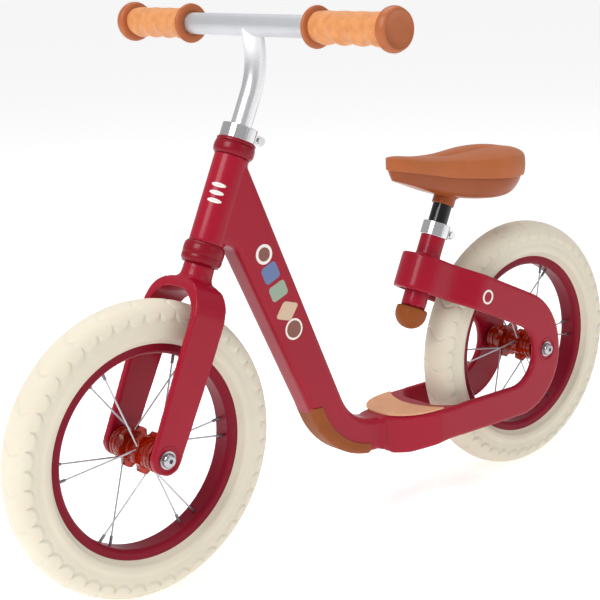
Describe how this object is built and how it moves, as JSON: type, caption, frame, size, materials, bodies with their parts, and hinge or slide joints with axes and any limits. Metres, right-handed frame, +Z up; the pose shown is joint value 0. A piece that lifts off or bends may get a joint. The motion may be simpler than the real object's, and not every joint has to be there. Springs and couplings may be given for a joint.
{
  "type": "balance bike",
  "caption": "Child's balance bike with a low cast frame, flat-band fork, spoked wheels on solid foam tyres, raised handlebar and padded saddle.",
  "frame": {"origin": "on the ground, midway between the two axles, in the middle plane", "axes": "+X forward, +Y to the rider's left, +Z up"},
  "size_m": [0.85, 0.422, 0.5728],
  "materials": {
    "red_paint": "satin red enamel",
    "red_rim": "moulded red nylon",
    "tyre_foam": "matte cream foam",
    "hub_plastic": "glossy amber-red",
    "steel": "drawn steel",
    "chrome_trim": "polished",
    "alloy": "polished tube",
    "black_steel": "gloss black",
    "brown_rubber": "matte ochre",
    "pad_rubber": "matte peach",
    "saddle_leather": "soft tan",
    "saddle_plastic": "moulded brown",
    "grip_rubber": "mottled tan",
    "grip_trim": "smooth brown"
  },
  "bodies": {
    "frame": {"head_tube": "red_paint", "down_beam": "red_paint", "footrest_deck": "red_paint", "footrest_pad": "pad_rubber", "left_stay": "red_paint", "right_stay": "red_paint", "seat_loop": "red_paint", "seat_tube": "red_paint", "seat_tube_plug": "brown_rubber", "seat_collar": "chrome_trim", "seat_collar_bolt": "chrome_trim", "scuff_guard": "brown_rubber", "lower_cup": "red_paint", "upper_cup": "red_paint", "lower_headset_bearing": "steel", "upper_headset_bearing": "steel", "rear_axle": "steel", "rear_spacer_left": "steel", "rear_spacer_right": "steel", "rear_bolt_left": "chrome_trim", "rear_bolt_right": "chrome_trim"},
    "fork": {"fork_arch": "red_paint", "fork_steerer": "steel", "crown_race": "red_paint", "headset_cap": "red_paint", "front_axle": "steel", "front_spacer_left": "steel", "front_spacer_right": "steel", "front_bolt_left": "chrome_trim", "front_bolt_right": "chrome_trim", "stem_collar": "chrome_trim", "stem_collar_bolt": "chrome_trim"},
    "handlebar": {"handlebar_stem": "alloy", "crossbar": "alloy", "grip_flange_left": "grip_trim", "grip_flange_right": "grip_trim", "grip_sleeve_left": "grip_rubber", "grip_sleeve_right": "grip_rubber", "grip_cap_left": "grip_trim", "grip_cap_right": "grip_trim"},
    "front_wheel": {"front_tyre": "tyre_foam", "front_rim": "red_rim", "front_hub": "hub_plastic", "front_bearing_left": "steel", "front_bearing_right": "steel", "front_spokes": "steel", "front_nipples": "steel"},
    "rear_wheel": {"rear_tyre": "tyre_foam", "rear_rim": "red_rim", "rear_hub": "hub_plastic", "rear_bearing_left": "steel", "rear_bearing_right": "steel", "rear_spokes": "steel", "rear_nipples": "steel"},
    "seat": {"seat_post": "black_steel", "saddle_bracket": "saddle_plastic", "saddle_shell": "saddle_plastic", "saddle_pad": "saddle_leather"}
  },
  "joints": [
    {"name": "steering", "type": "hinge", "parent": "frame", "child": "fork", "pos_m": [0.16795, 0, 0.38271], "axis": [-0.4067, 0, 0.9135], "range_deg": [-60, 60]},
    {"name": "handlebar_height", "type": "slide", "parent": "fork", "child": "handlebar", "axis": [-0.4067, 0, 0.9135], "range_m": [-0.015, 0.045]},
    {"name": "front_wheel_spin", "type": "hinge", "parent": "fork", "child": "front_wheel", "pos_m": [0.275, 0, 0.15], "axis": [0, 1, 0], "continuous": true},
    {"name": "rear_wheel_spin", "type": "hinge", "parent": "frame", "child": "rear_wheel", "pos_m": [-0.275, 0, 0.15], "axis": [0, 1, 0], "continuous": true},
    {"name": "seat_height", "type": "slide", "parent": "frame", "child": "seat", "axis": [-0.4067, 0, 0.9135], "range_m": [0, 0.055]}
  ]
}
